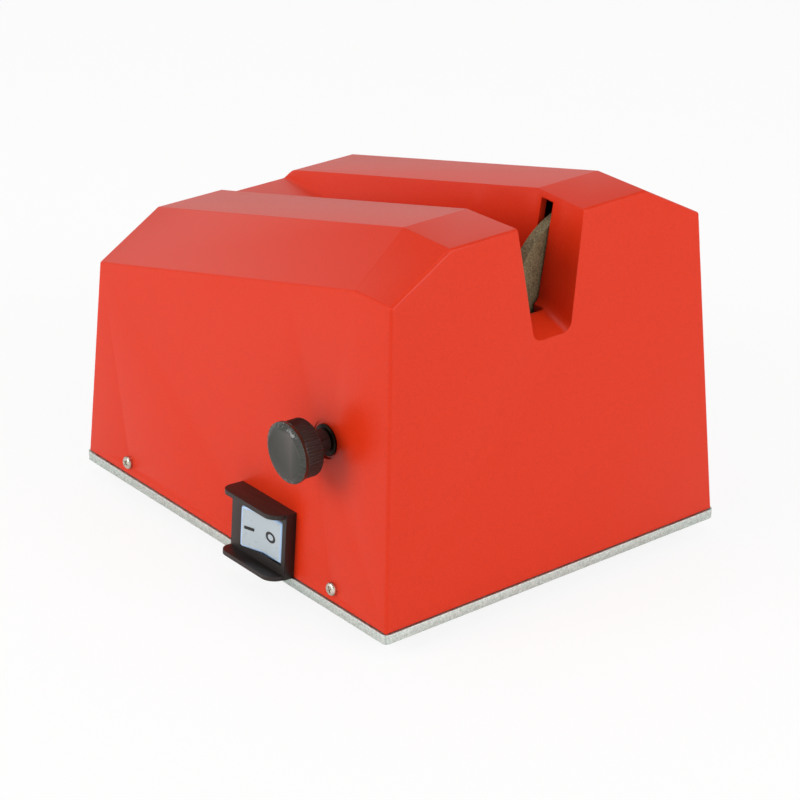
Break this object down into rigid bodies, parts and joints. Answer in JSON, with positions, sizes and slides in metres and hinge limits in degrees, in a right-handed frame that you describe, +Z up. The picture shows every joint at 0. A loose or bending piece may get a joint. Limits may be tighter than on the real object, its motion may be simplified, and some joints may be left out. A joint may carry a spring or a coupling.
{
  "type": "electric knife sharpener",
  "caption": "Benchtop electric knife sharpener: sloped metal housing with a V trough, crossed abrasive wheels, side adjusting knob and guarded rocker switch.",
  "frame": {"origin": "centre of the base plate's underside; the rubber feet reach 6 mm below it", "axes": "+Z up; -Y towards the user, the side with the V notch; -X towards the side with the switch and the knob; the trough runs along Y"},
  "size_m": [0.1913, 0.2076, 0.1573],
  "materials": {
    "red_powder_coat": "powder coat, semi-gloss with a fine orange peel",
    "raw_aluminium_plate": "raw aluminium, sawn edges",
    "aluminium_casting": "cast aluminium, machined bores",
    "black_rubber": "moulded black rubber",
    "belt_rubber": "fabric-faced rubber belt",
    "nickel_steel": "nickel-plated steel",
    "machined_steel": "turned steel",
    "bearing_steel": "ground bearing steel",
    "gear_brass": "machined brass",
    "abrasive_grit": "bonded abrasive, olive brown",
    "laminated_steel": "stacked electrical steel",
    "winding_copper": "enamelled copper winding",
    "cradle_steel": "zinc-plated sheet steel",
    "black_guard_plastic": "moulded black plastic",
    "rocker_plastic": "pale blue-grey gloss plastic",
    "black_knob_plastic": "black phenolic, polished face",
    "fan_plastic": "moulded nylon",
    "capacitor_can": "drawn aluminium can",
    "terminal_plastic": "moulded polyamide"
  },
  "bodies": {
    "housing": {"base_plate": "raw_aluminium_plate", "rubber_feet": "black_rubber", "foot_screws": "nickel_steel", "foot_nuts": "nickel_steel", "cover": "red_powder_coat", "cover_screws": "nickel_steel", "cover_blocks": "aluminium_casting", "block_screws": "nickel_steel", "switch_guard": "black_guard_plastic", "switch_body": "black_guard_plastic", "switch_terminals": "gear_brass", "spindle_bush": "gear_brass", "bush_nut": "nickel_steel", "pivot_pedestal": "aluminium_casting", "countershaft_bearings": "bearing_steel", "motor_housing": "aluminium_casting", "motor_front_cap": "aluminium_casting", "motor_rear_cap": "aluminium_casting", "stator_core": "laminated_steel", "stator_windings": "winding_copper", "motor_bearings": "bearing_steel", "motor_cradle": "cradle_steel", "motor_screws": "nickel_steel", "run_capacitor": "capacitor_can", "capacitor_clip": "cradle_steel", "clip_screw": "nickel_steel", "terminal_block": "terminal_plastic", "cable_grommet": "black_rubber", "right_pedestal": "aluminium_casting", "right_bearings": "bearing_steel", "right_belt": "belt_rubber", "pedestal_screws": "nickel_steel"},
    "switch_rocker": {"rocker": "rocker_plastic"},
    "knob": {"adjust_knob": "black_knob_plastic", "adjusting_spindle": "machined_steel", "retaining_collar": "machined_steel"},
    "arm": {"swing_arm": "aluminium_casting", "trunnion_nut": "gear_brass", "left_bearings": "bearing_steel", "left_belt": "belt_rubber"},
    "left_rotor": {"left_spindle": "machined_steel", "left_wheel": "abrasive_grit", "left_flanges": "machined_steel", "left_nut": "nickel_steel", "left_pulley": "machined_steel"},
    "right_rotor": {"right_spindle": "machined_steel", "right_wheel": "abrasive_grit", "right_flanges": "machined_steel", "right_nut": "nickel_steel", "right_pulley": "machined_steel"},
    "counter_rotor": {"countershaft": "machined_steel", "countershaft_pulley": "machined_steel", "driven_gear": "gear_brass"},
    "motor_rotor": {"motor_shaft": "machined_steel", "rotor_core": "laminated_steel", "motor_pulley": "machined_steel", "drive_gear": "machined_steel", "motor_fan": "fan_plastic"}
  },
  "joints": [
    {"name": "rocker_tilt", "type": "hinge", "parent": "housing", "child": "switch_rocker", "pos_m": [-0.08343, -0.0288, 0.01895], "axis": [-0.061, 0, -0.9981], "range_deg": [0, 18]},
    {"name": "knob_turn", "type": "hinge", "parent": "housing", "child": "knob", "pos_m": [-0.0822, -0.0599, 0.0697], "axis": [-1, 0, 0], "range_deg": [-360, 360]},
    {"name": "arm_swing", "type": "hinge", "parent": "housing", "child": "arm", "pos_m": [-0.0341, -0.0599, 0.03746], "axis": [0, 1, 0], "range_deg": [-1.9, 1.9]},
    {"name": "motor_spin", "type": "hinge", "parent": "housing", "child": "motor_rotor", "pos_m": [0, 0.034, 0.049], "axis": [0, 1, 0], "continuous": true},
    {"name": "right_spin", "type": "hinge", "parent": "housing", "child": "right_rotor", "pos_m": [0.0341, -0.05, 0.1084], "axis": [0, 1, 0], "continuous": true},
    {"name": "counter_spin", "type": "hinge", "parent": "housing", "child": "counter_rotor", "pos_m": [-0.0341, -0.05, 0.03746], "axis": [0, 1, 0], "continuous": true},
    {"name": "left_spin", "type": "hinge", "parent": "arm", "child": "left_rotor", "pos_m": [-0.0341, -0.056, 0.1084], "axis": [0, 1, 0], "continuous": true}
  ],
  "couplings": [
    {"joint": "arm_swing", "follows": "knob_turn", "ratio": 0.004936},
    {"joint": "right_spin", "follows": "motor_spin", "ratio": 1},
    {"joint": "counter_spin", "follows": "motor_spin", "ratio": -1},
    {"joint": "left_spin", "follows": "motor_spin", "ratio": -1}
  ]
}
